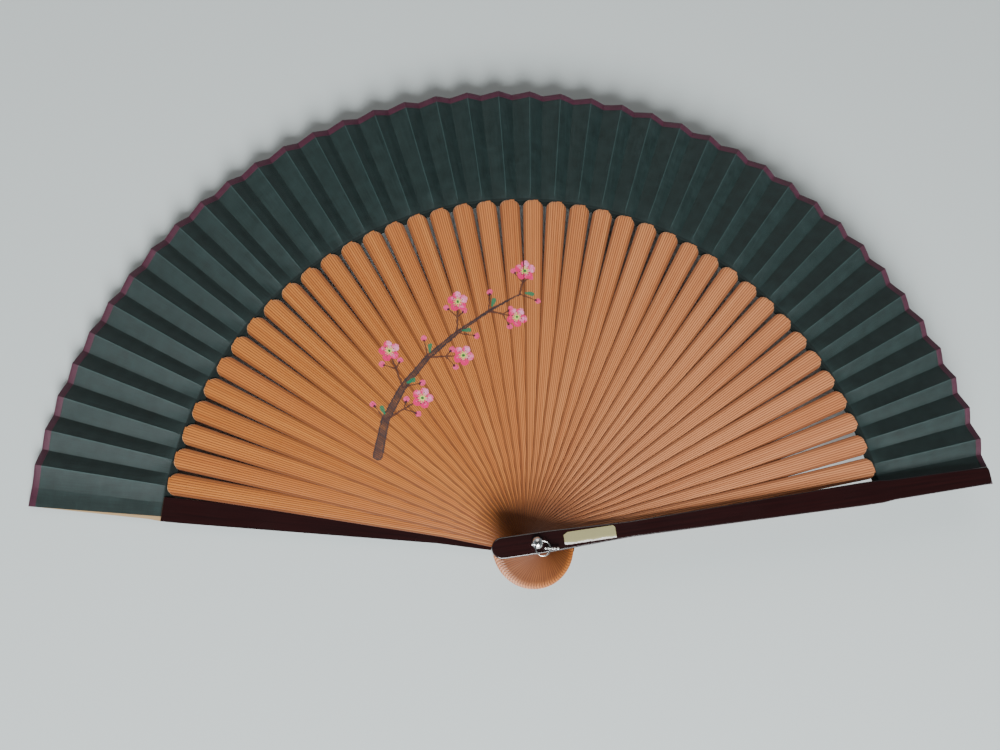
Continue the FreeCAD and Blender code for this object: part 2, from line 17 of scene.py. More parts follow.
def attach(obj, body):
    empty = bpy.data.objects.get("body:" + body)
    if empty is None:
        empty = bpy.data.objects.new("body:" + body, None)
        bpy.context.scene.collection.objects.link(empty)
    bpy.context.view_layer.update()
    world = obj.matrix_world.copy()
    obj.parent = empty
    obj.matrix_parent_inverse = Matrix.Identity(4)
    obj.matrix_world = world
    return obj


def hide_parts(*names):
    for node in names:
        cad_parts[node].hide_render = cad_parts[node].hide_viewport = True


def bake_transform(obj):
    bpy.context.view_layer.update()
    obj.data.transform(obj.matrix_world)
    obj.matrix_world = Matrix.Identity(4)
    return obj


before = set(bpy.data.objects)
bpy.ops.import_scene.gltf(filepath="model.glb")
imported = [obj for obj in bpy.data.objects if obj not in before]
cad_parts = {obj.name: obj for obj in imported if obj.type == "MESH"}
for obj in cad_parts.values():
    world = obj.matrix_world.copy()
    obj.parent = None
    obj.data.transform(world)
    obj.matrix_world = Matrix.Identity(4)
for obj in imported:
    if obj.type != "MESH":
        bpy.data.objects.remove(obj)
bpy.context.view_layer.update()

MM = 0.001

# ---- sizes of the fan, as in the CAD model ----

STICKS = 40
OPEN_ANGLE = 166.4
PITCH = OPEN_ANGLE / (STICKS + 1)
BACK_BEARING = 90 + OPEN_ANGLE / 2
GUARD_THICK, STICK_THICK, LAYER = 1.9, 0.32, 0.36
FIRST_LAYER = GUARD_THICK + 0.04
FRONT_LAYER = FIRST_LAYER + STICKS * LAYER
FRONT_TOP = FRONT_LAYER + GUARD_THICK
RECESS = 0.9
HEAD_REACH, HEAD_HALF = 17.3, 4.0
SLAT_REACH, SLAT_HALF, SLAT_CORNER = 142.4, 4.35, 3.9
HALF_WIDTHS = ((-HEAD_REACH, HEAD_HALF), (4.5, HEAD_HALF), (35.0, 2.95), (101.0, 3.65), (SLAT_REACH, SLAT_HALF))
HOLE_RADIUS = 1.55
RIDGE_TURN, VALLEY_TURN = 0.5, -1.4
EDGE_TURN, BACK_FOLD_TURN = 1.1, -1.0
RIM_REACH = 191.2


def stick_bearing(number):
    return BACK_BEARING - number * PITCH


def stick_floor(number):
    """Height of the underside of a stick."""
    return FIRST_LAYER + (number - 1) * LAYER


def own_frame(number, height):
    """Takes a stick's or guard's own frame to the fan's, in millimetres."""
    turn = Matrix.Rotation(math.radians(stick_bearing(number)), 4, "Z")
    return Matrix.Translation((0, 0, height)) @ turn


def body_name(number):
    if number == 0:
        return "guard_back"
    return "guard_front" if number == STICKS + 1 else f"stick_{number:02d}"


def polar(radius, bearing, height):
    turn = math.radians(bearing)
    return (radius * math.cos(turn), radius * math.sin(turn), height)


def between(value, pairs):
    """Straight-line interpolation through (place, value) pairs."""
    return float(np.interp(value, [p[0] for p in pairs], [p[1] for p in pairs]))


# ---- mesh making ----

def make_object(name, points, faces, materials, slots=None, attributes=None, sharp=40.0, weld=0.0):
    """A smooth mesh from points in millimetres. attributes maps a name to a number or a vector for each point.

    Edges bent by more than sharp degrees stay sharp. Points nearer than weld millimetres are joined.
    """
    mesh = bpy.data.meshes.new(name)
    mesh.from_pydata([Vector(p) * MM for p in points], [], faces)
    for material in materials:
        mesh.materials.append(material)
    if slots is not None:
        mesh.polygons.foreach_set("material_index", slots)
    for key, values in (attributes or {}).items():
        values = np.asarray(values, np.float32)
        vector = values.ndim == 2
        layer = mesh.attributes.new(key, "FLOAT_VECTOR" if vector else "FLOAT", "POINT")
        layer.data.foreach_set("vector" if vector else "value", values.ravel())
    build = bmesh.new()
    build.from_mesh(mesh)
    if weld:
        bmesh.ops.remove_doubles(build, verts=build.verts, dist=weld * MM)
        flat = [f for f in build.faces if f.calc_area() < 1e-13]
        bmesh.ops.delete(build, geom=flat, context="FACES_ONLY")
    bmesh.ops.recalc_face_normals(build, faces=build.faces)
    build.to_mesh(mesh)
    build.free()
    mesh.polygons.foreach_set("use_smooth", [True] * len(mesh.polygons))
    mesh.set_sharp_from_angle(angle=math.radians(sharp))
    mesh.update()
    made = bpy.data.objects.new(name, mesh)
    bpy.context.scene.collection.objects.link(made)
    return made


def grid_faces(rows, columns, skip=lambda row, column: False, first=0, turned=False):
    """Faces of a grid whose points start at first, row by row. turned makes them face the other way."""
    faces = []
    for i in range(rows - 1):
        for j in range(columns - 1):
            if skip(i, j):
                continue
            a = first + i * columns + j
            face = (a, a + 1, a + columns + 1, a + columns)
            faces.append(face[::-1] if turned else face)
    return faces


def border_walls(rows, columns, count):
    """Faces that join the border of a grid to that of an equal grid, count points on."""
    border = list(range(columns)) + [i * columns + columns - 1 for i in range(1, rows)]
    border += [(rows - 1) * columns + j for j in range(columns - 2, -1, -1)]
    border += [i * columns for i in range(rows - 2, 0, -1)]
    return [(a, a + count, b + count, b) for a, b in zip(border, border[1:] + border[:1])]


# ---- material making ----

class Shader:
    """Short ways to add and join nodes in one tree."""

    def __init__(self, tree):
        self.tree = tree

    def node(self, kind, values=(), **settings):
        made = self.tree.nodes.new(kind)
        for key, value in settings.items():
            setattr(made, key, value)
        for key, value in dict(values).items():
            self.feed(made.inputs[key], value)
        return made

    def feed(self, socket, value):
        if isinstance(value, bpy.types.NodeSocket):
            self.tree.links.new(value, socket)
        elif value is not None:
            socket.default_value = value

    def math(self, operation, *values, clamp=False):
        made = self.node("ShaderNodeMath", enumerate(values), operation=operation)
        made.use_clamp = clamp
        return made.outputs[0]

    def vector(self, operation, a, b=None):
        values = {0: a}
        if operation == "SCALE":
            values["Scale"] = b
        elif b is not None:
            values[1] = b
        made = self.node("ShaderNodeVectorMath", values, operation=operation)
        return made.outputs["Value" if operation in ("DOT_PRODUCT", "LENGTH", "DISTANCE") else "Vector"]

    def split(self, vector):
        return self.node("ShaderNodeSeparateXYZ", {0: vector}).outputs

    def join(self, x, y, z=0.0):
        return self.node("ShaderNodeCombineXYZ", {0: x, 1: y, 2: z}).outputs[0]

    def noise(self, vector, scale, detail=2.0, roughness=0.5):
        made = self.node("ShaderNodeTexNoise", {"Vector": vector, "Scale": scale, "Detail": detail,
                                                "Roughness": roughness})
        return made.outputs[0]

    def ramp(self, value, low, high, to_low=0.0, to_high=1.0):
        """value, from low to high, taken to to_low to to_high, smoothly and no further."""
        made = self.node("ShaderNodeMapRange", {0: value, 1: low, 2: high, 3: to_low, 4: to_high},
                         interpolation_type="SMOOTHSTEP")
        return made.outputs[0]

    def mix(self, share, a, b):
        """The colour a, going over to b as share goes from 0 to 1."""
        made = self.node("ShaderNodeMix", data_type="RGBA")
        for index, value in ((0, share), (6, a), (7, b)):
            self.feed(made.inputs[index], (*value, 1.0) if isinstance(value, tuple) else value)
        return made.outputs[2]

    def attribute(self, name):
        return self.node("ShaderNodeAttribute", attribute_name=name).outputs

    def bump(self, height, distance):
        """A normal for a relief of height times distance in millimetres."""
        return self.node("ShaderNodeBump", {"Height": height, "Distance": distance * MM}).outputs[0]

    def surface(self, **values):
        """The Principled shader and the output. Keys are input names with _ for a space."""
        named = {key.replace("_", " "): value for key, value in values.items()}
        for key in ("Base Color", "Sheen Tint"):
            if isinstance(named.get(key), tuple):
                named[key] = (*named[key], 1.0)
        made = self.node("ShaderNodeBsdfPrincipled", named)
        end = self.node("ShaderNodeOutputMaterial")
        self.tree.links.new(made.outputs[0], end.inputs[0])


def new_material(name):
    material = bpy.data.materials.new(name)
    material.use_nodes = True
    material.node_tree.nodes.clear()
    return material, Shader(material.node_tree)


def new_group(name, inputs, outputs):
    """A node group with sockets of (name, kind): its tree, its Shader, and the sockets in and out of it."""
    tree = bpy.data.node_groups.new(name, "ShaderNodeTree")
    for key, kind in inputs:
        tree.interface.new_socket(name=key, in_out="INPUT", socket_type="NodeSocket" + kind)
    for key, kind in outputs:
        tree.interface.new_socket(name=key, in_out="OUTPUT", socket_type="NodeSocket" + kind)
    shader = Shader(tree)
    return tree, shader, shader.node("NodeGroupInput").outputs, shader.node("NodeGroupOutput").inputs


def rest_point(s):
    """The place on the open fan, in millimetres."""
    return s.vector("SCALE", s.node("ShaderNodeTexCoord").outputs["Object"], 1 / MM)


# ---- the painted spray: a plain curved stem with alternate twigs, each with a blossom, a bud and a leaf ----

STEM = ((-60, 36), (-57, 50), (-50, 63), (-40, 75), (-28, 85), (-15, 94), (-2, 101))
STEM_HALF, STEM_TAPER = 2.1, 0.29
TWIG_TURN, TWIG_LENGTH, TWIG_TAPER = 48, 17, 1.3
LEAF_LENGTH = 2.6
BLOSSOM_RADIUS, BUD_RADIUS = 4.4, 1.2
PAINT_REACH = 5.6  # from a stick's middle line: its half width, and a little for the unsteady hand


def ahead(x, y, turn, distance):
    """The place at a distance from (x, y) on the bearing turn."""
    return (x + distance * math.cos(math.radians(turn)), y + distance * math.sin(math.radians(turn)))


def spray():
    """The stem, twigs, leaves, buds and blossoms, all in millimetres and degrees on the open fan.

    Stem, twigs and leaves are strokes: both ends, then the half width at each. A bud is its place, its
    radius and the bearing of its calyx. A blossom is its place, its radius and its turn.
    """
    stem, twigs, leaves, buds, blossoms = [], [], [], [], []
    for joint, (start, end) in enumerate(zip(STEM, STEM[1:])):
        width = STEM_HALF - STEM_TAPER * joint
        stem.append((*start, *end, width, width - STEM_TAPER))
        heading = math.degrees(math.atan2(end[1] - start[1], end[0] - start[0]))
        side = 1 if joint % 2 else -1
        turn, length = heading + side * TWIG_TURN, TWIG_LENGTH - TWIG_TAPER * joint
        tip, middle = ahead(*end, turn, length), ahead(*end, turn, 0.5 * length)
        twigs.append((*end, *tip, 0.5, 0.25))
        blossoms.append((*tip, BLOSSOM_RADIUS, 40 * joint))
        for root, bearing, reach in ((middle, turn + side * 50, 6), (middle, turn - side * 45, 4),
                                     (end, heading - side * 50, 8)):
            bud = ahead(*root, bearing, reach)
            twigs.append((*root, *bud, 0.3, 0.2))
            buds.append((*bud, BUD_RADIUS, bearing + 180))
        leaf = ahead(*end, heading - side * 20, 2.5)
        leaves.append((*leaf, *ahead(*leaf, heading - side * 35, LEAF_LENGTH), 0.4, 0.9))
    return stem, twigs, leaves, buds, blossoms


SPRAY = spray()


def stroke_group():
    """Distance to a tapering stroke, below 0 inside it. Per_square is 1 over its length squared."""
    inputs = (("Point", "Vector"), ("Start", "Vector"), ("Along", "Vector"), ("Per_square", "Float"),
              ("Radius", "Float"), ("Growth", "Float"))
    tree, s, given, result = new_group("stroke", inputs, (("Distance", "Float"),))
    away = s.vector("SUBTRACT", given["Point"], given["Start"])
    share = s.math("MULTIPLY", s.vector("DOT_PRODUCT", away, given["Along"]), given["Per_square"], clamp=True)
    off = s.vector("LENGTH", s.vector("SUBTRACT", away, s.vector("SCALE", given["Along"], share)))
    radius = s.math("MULTIPLY_ADD", share, given["Growth"], given["Radius"])
    s.feed(result["Distance"], s.math("SUBTRACT", off, radius))
    return tree


def blossom_group():
    """Colour and cover of a five-petalled blossom."""
    inputs = (("Point", "Vector"), ("Centre", "Vector"), ("Size", "Float"), ("Turn", "Float"),
              ("Grain", "Float"))
    tree, s, given, result = new_group("blossom", inputs, (("Colour", "Color"), ("Cover", "Float")))
    away = s.vector("SUBTRACT", given["Point"], given["Centre"])
    x, y, _ = s.split(away)
    radius = s.math("DIVIDE", s.vector("LENGTH", away), given["Size"])
    angle = s.math("ADD", s.math("ARCTAN2", y, x), given["Turn"])
    fold = s.math("WRAP", angle, math.pi / 5, -math.pi / 5)
    petal = s.join(s.math("SUBTRACT", s.math("MULTIPLY", radius, s.math("COSINE", fold)), 0.58),
                   s.math("MULTIPLY", radius, s.math("SINE", fold)))
    edge = s.math("SUBTRACT", s.vector("LENGTH", petal), 0.385)
    cover = s.ramp(edge, -0.035, 0.035, 1, 0)
    blush = s.math("ADD", s.math("MULTIPLY", edge, 1.6), s.math("MULTIPLY_ADD", given["Grain"], 2.6, 1.15))
    shaded = s.math("DIVIDE", s.vector("DOT_PRODUCT", away, (-0.55, -0.6, 0.0)), given["Size"])
    side = s.math("MULTIPLY_ADD", s.math("SINE", fold), 0.7, shaded)
    colour = s.mix(s.math("ADD", blush, side, clamp=True), (0.88, 0.33, 0.52), (0.74, 0.012, 0.13))
    eye = s.ramp(radius, 0.2, 0.3, 1, 0)
    rays = s.ramp(s.math("COSINE", s.math("MULTIPLY", angle, 10)), 0.2, 0.8)
    rays = s.math("MULTIPLY", rays, s.ramp(radius, 0.42, 0.5, 1, 0))
    colour = s.mix(s.math("MAXIMUM", eye, rays), colour, (0.62, 0.66, 0.14))
    colour = s.mix(s.ramp(radius, 0.1, 0.17, 1, 0), colour, (0.03, 0.12, 0.03))
    ring = s.math("COMPARE", radius, 0.47, 0.06)
    dots = s.math("MULTIPLY", ring, s.ramp(s.math("COSINE", s.math("MULTIPLY", angle, 10)), 0.6, 0.9))
    colour = s.mix(dots, colour, (0.04, 0.02, 0.03))
    s.feed(result["Colour"], colour)
    s.feed(result["Cover"], s.math("MAXIMUM", cover, eye))
    return tree


STROKE, BLOSSOM = stroke_group(), blossom_group()


def nearer(s, found, distance):
    """The lesser of two distances. found is None before the first."""
    return distance if found is None else s.math("MINIMUM", found, distance)


def strokes_distance(s, point, strokes):
    """Distance to the nearest of some strokes."""
    found = None
    for x0, y0, x1, y1, r0, r1 in strokes:
        along = (x1 - x0, y1 - y0, 0.0)
        square = (x1 - x0) ** 2 + (y1 - y0) ** 2
        made = s.node("ShaderNodeGroup", node_tree=STROKE)
        for key, value in (("Point", point), ("Start", (x0, y0, 0.0)), ("Along", along),
                           ("Per_square", 1 / square), ("Radius", r0), ("Growth", r1 - r0)):
            s.feed(made.inputs[key], value)
        found = nearer(s, found, made.outputs[0])
    return found


def dots_distance(s, point, dots):
    """Distance to the nearest of some round dots."""
    found = None
    for x, y, radius in dots:
        found = nearer(s, found, s.math("SUBTRACT", s.vector("DISTANCE", point, (x, y, 0.0)), radius))
    return found


def reaching(marks, number):
    """The marks that reach a stick. A mark of six numbers is a stroke; a shorter one is a bud or a blossom."""
    turn = math.radians(stick_bearing(number))
    kept = []
    for mark in marks:
        ends = (mark[0:2], mark[2:4]) if len(mark) == 6 else (mark[0:2],)
        aside = [y * math.cos(turn) - x * math.sin(turn) for x, y in ends]
        size = max(mark[4:6]) if len(mark) == 6 else mark[2]
        if min(aside) - size < PAINT_REACH and max(aside) + size > -PAINT_REACH:
            kept.append(mark)
    return kept


def painted(s, wood, fibre, number):
    """A stick's wood with its share of the spray painted over it."""
    place = s.vector("MULTIPLY", rest_point(s), (1.0, 1.0, 0.0))
    shake = s.node("ShaderNodeTexNoise", {"Vector": place, "Scale": 0.9, "Detail": 3.0}).outputs[1]
    shake = s.vector("SCALE", s.vector("SUBTRACT", shake, (0.5, 0.5, 0.5)), 1.1)
    hand = s.vector("MULTIPLY", s.vector("ADD", place, shake), (1.0, 1.0, 0.0))
    grain = s.math("SUBTRACT", s.noise(place, 0.8, 4.0, 0.65), 0.5)

    colour = wood
    stem, twigs, leaves, buds, blossoms = [reaching(marks, number) for marks in SPRAY]
    if stem:
        wash = strokes_distance(s, hand, stem)
        dry = s.math("MULTIPLY_ADD", s.noise(place, 0.35, 5.0, 0.7), 2.0, 0.02, clamp=True)
        cover = s.math("MULTIPLY", s.ramp(wash, -0.5, 0.25, 1, 0), dry)
        cover = s.math("MULTIPLY", cover, s.math("MULTIPLY_ADD", fibre, 0.5, 0.6, clamp=True))
        rim = s.math("MULTIPLY", s.math("COMPARE", wash, -0.35, 0.3), 0.25)
        colour = s.mix(s.math("ADD", cover, rim, clamp=True), colour, (0.034, 0.022, 0.025))
    if twigs:
        twig = s.ramp(strokes_distance(s, hand, twigs), -0.12, 0.14, 0.85, 0)
        colour = s.mix(twig, colour, (0.06, 0.022, 0.018))
    if leaves:
        leaf = s.ramp(strokes_distance(s, hand, leaves), -0.1, 0.15, 0.9, 0)
        colour = s.mix(leaf, colour, (0.008, 0.16, 0.075))
    if buds:
        bud = s.ramp(dots_distance(s, hand, [b[:3] for b in buds]), -0.14, 0.14, 0.95, 0)
        flush = s.math("MULTIPLY_ADD", grain, 3.0, 0.45, clamp=True)
        colour = s.mix(bud, colour, s.mix(flush, (0.82, 0.09, 0.26), (0.62, 0.010, 0.10)))
        calyx = [(*ahead(x, y, turn, 0.85 * r), 0.42 * r) for x, y, r, turn in buds]
        cup = s.ramp(dots_distance(s, hand, calyx), -0.1, 0.12, 0.95, 0)
        colour = s.mix(cup, colour, (0.03, 0.012, 0.015))
    for x, y, radius, turn in blossoms:
        made = s.node("ShaderNodeGroup", node_tree=BLOSSOM)
        for key, value in (("Point", hand), ("Centre", (float(x), float(y), 0.0)), ("Size", radius),
                           ("Turn", math.radians(turn)), ("Grain", grain)):
            s.feed(made.inputs[key], value)
        colour = s.mix(made.outputs["Cover"], colour, made.outputs["Colour"])
    return colour


# ---- materials ----

REEDS = 9


def bamboo(name, painted_stick=None):
    """Reeded, lightly varnished bamboo, with the spray where painted_stick names a stick.

    strand holds the place across (-1 to 1), the place along and the stick's number. tip is 1 on the cut top.
    """
    material, s = new_material(name)
    across, along, number = s.split(s.attribute("strand")["Vector"])
    lane = s.math("MULTIPLY_ADD", number, 17.3, across)
    streak = s.noise(s.join(s.math("MULTIPLY", lane, 3.1), s.math("MULTIPLY", along, 0.012)), 1.0, 4.0, 0.6)
    fibre = s.noise(s.join(s.math("MULTIPLY", lane, 26.0), s.math("MULTIPLY", along, 0.09)), 1.0, 3.0, 0.6)
    own = s.node("ShaderNodeTexWhiteNoise", {"W": number}, noise_dimensions="1D").outputs[0]
    groove = s.math("PINGPONG", s.math("MULTIPLY", s.math("ADD", across, 1), REEDS / 2), 0.5)
    groove = s.ramp(groove, 0.04, 0.30, 1, 0)

    # painted light: the sticks towards the front guard go paler and pinker, for the light that falls on that
    # side
    side = s.ramp(number, 6.0, 38.0)
    light = s.mix(side, (0.66, 0.225, 0.038), (0.72, 0.285, 0.120))
    dark = s.mix(side, (0.38, 0.098, 0.013), (0.46, 0.150, 0.055))
    tone = s.math("ADD", s.math("MULTIPLY_ADD", streak, 1.7, -0.42), s.math("MULTIPLY", own, 0.3))
    tone = s.math("ADD", tone, s.math("MULTIPLY_ADD", fibre, 0.5, -0.32), clamp=True)
    colour = s.mix(tone, dark, light)
    colour = s.mix(s.ramp(own, 0.6, 1.0, 0.0, 0.45), colour, (0.42, 0.105, 0.022))
    cut = s.math("MULTIPLY", groove, s.math("MULTIPLY_ADD", fibre, 1.3, 0.15, clamp=True))
    colour = s.mix(s.math("MULTIPLY", cut, 0.92), colour, (0.11, 0.026, 0.008))
    # darker towards both edges: partly burnt edges, partly painted shade of the rounded sides and of the
    # overlapping sticks
    edge = s.ramp(s.math("ABSOLUTE", across), 0.55, 1.0)
    colour = s.mix(s.math("MULTIPLY", edge, 0.8), colour, (0.10, 0.026, 0.009))
    # the cut top is paler: bare end grain, and partly a painted highlight on the lit rim
    tip = s.attribute("tip")["Fac"]
    colour = s.mix(s.math("MULTIPLY", tip, 0.7), colour, (0.66, 0.44, 0.27))
    if painted_stick:
        colour = painted(s, colour, fibre, painted_stick)
    rough = s.math("MULTIPLY_ADD", fibre, 0.22, 0.34)
    relief = s.math("ADD", s.math("MULTIPLY", fibre, 0.6), s.math("MULTIPLY", groove, -0.5))
    s.surface(Base_Color=colour, Roughness=rough, Normal=s.bump(relief, 0.035), Coat_Weight=0.22,
              Coat_Roughness=0.32)
    return material


def lacquer(name, number, bare_tail):
    """Dark red-brown lacquer over wood. The back guard's tail is bare above its lower half."""
    material, s = new_material(name)
    turn = math.radians(stick_bearing(number))
    place = rest_point(s)
    along = s.vector("DOT_PRODUCT", place, (math.cos(turn), math.sin(turn), 0.0))
    aside = s.vector("DOT_PRODUCT", place, (-math.sin(turn), math.cos(turn), 0.0))
    height = s.split(place)[2]
    drawn = s.join(s.math("MULTIPLY", along, 0.035), s.math("MULTIPLY", aside, 1.3), height)
    grain = s.noise(drawn, 1.0, 4.0, 0.6)
    cloud = s.noise(place, 0.06, 2.0)
    tone = s.math("MULTIPLY_ADD", grain, 1.6, -0.35, clamp=True)
    colour = s.mix(tone, (0.007, 0.0012, 0.0013), (0.026, 0.0045, 0.0045))
    colour = s.mix(s.math("MULTIPLY", cloud, 0.5), colour, (0.012, 0.002, 0.002))
    rough = s.math("MULTIPLY_ADD", cloud, 0.12, 0.2)
    if bare_tail:
        bare = s.math("MULTIPLY", s.ramp(along, SLAT_REACH, SLAT_REACH + 0.3), s.ramp(height, 0.75, 0.9))
        wood = s.mix(grain, (0.34, 0.19, 0.08), (0.62, 0.42, 0.22))
        colour = s.mix(bare, colour, wood)
        rough = s.math("MULTIPLY_ADD", bare, 0.3, rough)
    relief = s.math("ADD", s.math("MULTIPLY", grain, 0.5), s.math("MULTIPLY", cloud, 2.0))
    s.surface(Base_Color=colour, Roughness=rough, Normal=s.bump(relief, 0.05), Coat_Weight=0.8,
              Coat_Roughness=0.12)
    return material


MARGIN_END = SLAT_REACH + 1  # out to this radius the cloth is shaded by the slats' tips
TIP_SHADE_COLOUR = (0.002, 0.004, 0.003)
# painted highlight on the ridge folds: full from this radius, at this share, this many times the light colour
CREASE_FULL, CREASE_SHARE, CREASE_HIGHLIGHT_GAIN = 146, 0.3, 3.2


def woven(name, dark, light, threads, sheen, tint, rough):
    """Plain-weave cloth, with so many threads a millimetre.

    cloth holds the place across the pleat and the radius, in millimetres, and the pleat's number. crease is 1
    on the ridge folds, which are given a painted highlight. The margin at the slats' tips is dull, and painted
    dark as painted shade.
    """
    material, s = new_material(name)
    across, along, number = s.split(s.attribute("cloth")["Vector"])
    warp = s.math("SINE", s.math("MULTIPLY", across, 2 * math.pi * threads))
    weft = s.math("SINE", s.math("MULTIPLY", along, 2 * math.pi * threads))
    weave = s.math("MULTIPLY", warp, weft)
    lane = s.math("MULTIPLY_ADD", number, 9.7, across)
    slub = s.noise(s.join(s.math("MULTIPLY", lane, 2.6), s.math("MULTIPLY", along, 0.06)), 1.0, 4.0, 0.65)
    cross = s.noise(s.join(s.math("MULTIPLY", lane, 0.12), s.math("MULTIPLY", along, 1.9)), 1.0, 3.0, 0.6)
    blotch = s.noise(s.join(lane, along), 0.22, 2.0)
    tone = s.math("ADD", s.math("MULTIPLY", slub, 0.75), s.math("MULTIPLY", cross, 0.4))
    tone = s.math("ADD", tone, s.math("MULTIPLY_ADD", blotch, 0.5, -0.45))
    tone = s.math("ADD", tone, s.math("MULTIPLY_ADD", weave, 0.14, -0.08), clamp=True)
    gloss = s.math("MULTIPLY_ADD", s.math("ADD", slub, cross), 0.34, rough - 0.34)
    # painted shade: the cloth at the slats' tips is darkened towards near black
    hidden = s.ramp(along, SLAT_REACH, MARGIN_END, 1, 0)
    dull = s.math("MULTIPLY_ADD", hidden, 0.5, gloss, clamp=True)
    shade = s.math("MULTIPLY", hidden, 0.8)
    colour = s.mix(tone, s.mix(shade, dark, TIP_SHADE_COLOUR), s.mix(shade, light, TIP_SHADE_COLOUR))
    # painted highlight: the ridge folds are lightened past the cloth's light colour
    ridge_highlight = s.math("MULTIPLY", s.attribute("crease")["Fac"],
                    s.ramp(along, MARGIN_END, CREASE_FULL, 0, CREASE_SHARE))
    colour = s.mix(ridge_highlight, colour, tuple(CREASE_HIGHLIGHT_GAIN * part for part in light))
    relief = s.math("ADD", s.math("MULTIPLY", weave, 0.6), s.math("ADD", slub, cross))
    s.surface(Base_Color=colour, Roughness=dull, Normal=s.bump(relief, 0.03),
              Sheen_Weight=sheen, Sheen_Roughness=0.35, Sheen_Tint=tint, Specular_IOR_Level=0.4)
    return material


def nickel():
    material, s = new_material("nickel_plate")
    place = rest_point(s)
    cloud = s.noise(place, 0.9, 3.0)
    scratch = s.noise(s.vector("MULTIPLY", place, (9.0, 1.2, 3.0)), 1.0, 3.0)
    colour = s.mix(cloud, (0.62, 0.60, 0.58), (0.86, 0.85, 0.83))
    s.surface(Base_Color=colour, Metallic=1.0, Roughness=s.math("MULTIPLY_ADD", scratch, 0.22, 0.1),
              Normal=s.bump(scratch, 0.01))
    return material


def paper():
    """Blank khaki paper; torn is 1 where its face layer has come away."""
    material, s = new_material("label_paper")
    place = rest_point(s)
    fibre = s.noise(place, 3.0, 5.0, 0.7)
    stain = s.noise(place, 0.35, 2.0)
    face = s.mix(fibre, (0.27, 0.235, 0.10), (0.40, 0.36, 0.18))
    face = s.mix(s.math("MULTIPLY", stain, 0.5), face, (0.24, 0.20, 0.09))
    torn = s.attribute("torn")["Fac"]
    colour = s.mix(torn, face, s.mix(fibre, (0.60, 0.52, 0.46), (0.85, 0.80, 0.74)))
    s.surface(Base_Color=colour, Roughness=0.62, Normal=s.bump(fibre, 0.04), Coat_Weight=0.12,
              Coat_Roughness=0.3)
    return material


PLAIN_BAMBOO = bamboo("bamboo")
BACK_LACQUER = lacquer("lacquer_back", 0, True)
FRONT_LACQUER = lacquer("lacquer_front", STICKS + 1, False)
SILK = woven("silk", (0.004, 0.009, 0.007), (0.026, 0.051, 0.049), 4.2, 0.10, (0.50, 0.80, 0.90), 0.50)
TAPE = woven("tape", (0.040, 0.007, 0.015), (0.105, 0.022, 0.050), 3.4, 0.15, (0.85, 0.55, 0.80), 0.5)
NICKEL = nickel()
PAPER = paper()

# ---- sticks ----

COLUMNS = 4 * REEDS  # four to a reed, as in GROOVE_SHAPE
CROWN, CROWN_POWER, GROOVE = 0.19, 2.6, 0.055
GROOVE_SHAPE = (1.0, 0.25, 0.0, 0.25)
LEAST_EDGE = 0.09
ACROSS = [-1 + 2 * j / COLUMNS for j in range(COLUMNS + 1)]
BODY_ROWS = (-10.0, -5.0, -2.7, -1.35, 0.0, 1.35, 2.7, 6.0, 12.0, 20.0, 28.0, 35.0, 44.0, 54.0, 64.0, 74.0,
             84.0, 94.0, 101.0, 110.0, 119.0, 128.0, 134.0)
END_SHARES = (0.45, 0.75, 0.92, 1.0)
END_DROPS = {END_SHARES[-1]: 0.55, END_SHARES[-2]: 0.2}
PATCH_ALONG, PATCH_ACROSS = 2.8, 2.65  # the part of the grid that gives way to the rivet hole


def slat_points():
    """Rows of (x, y, height above the underside, place across, tip) from the head to the rounded top."""
    head_middle, top_middle = -(HEAD_REACH - HEAD_HALF), SLAT_REACH - SLAT_CORNER
    rows = [("head", share) for share in reversed(END_SHARES)] + [("body", head_middle)]
    rows += [("body", x) for x in BODY_ROWS] + [("body", top_middle)]
    rows += [("top", share) for share in END_SHARES]
    points = []
    for kind, value in rows:
        line = []
        for column, f in enumerate(ACROSS):
            if kind == "head":
                y = f * HEAD_HALF
                x = head_middle - value * math.sqrt(max(HEAD_HALF ** 2 - y * y, 0))
            elif kind == "top":
                y = f * SLAT_HALF
                inside = max(abs(y) - (SLAT_HALF - SLAT_CORNER), 0)
                x = top_middle + value * math.sqrt(max(SLAT_CORNER ** 2 - inside ** 2, 0))
            else:
                x, y = value, f * between(value, HALF_WIDTHS)
            end = value if kind != "body" else 0.0
            height = STICK_THICK - CROWN * abs(f) ** CROWN_POWER
            height -= GROOVE * GROOVE_SHAPE[column % len(GROOVE_SHAPE)] * (1 - abs(f) ** 8)
            height = max(height - END_DROPS.get(end, 0.0) * STICK_THICK, LEAST_EDGE)
            line.append((x, y, height, f, 1.0 if end == 1.0 and kind == "top" else 0.0))
        points.append(line)
    return points


SLAT = slat_points()


def patch_range(values, reach):
    """First and last index of the values that lie within reach of 0."""
    inside = [i for i, value in enumerate(values) if abs(value) <= reach]
    return inside[0], inside[-1]


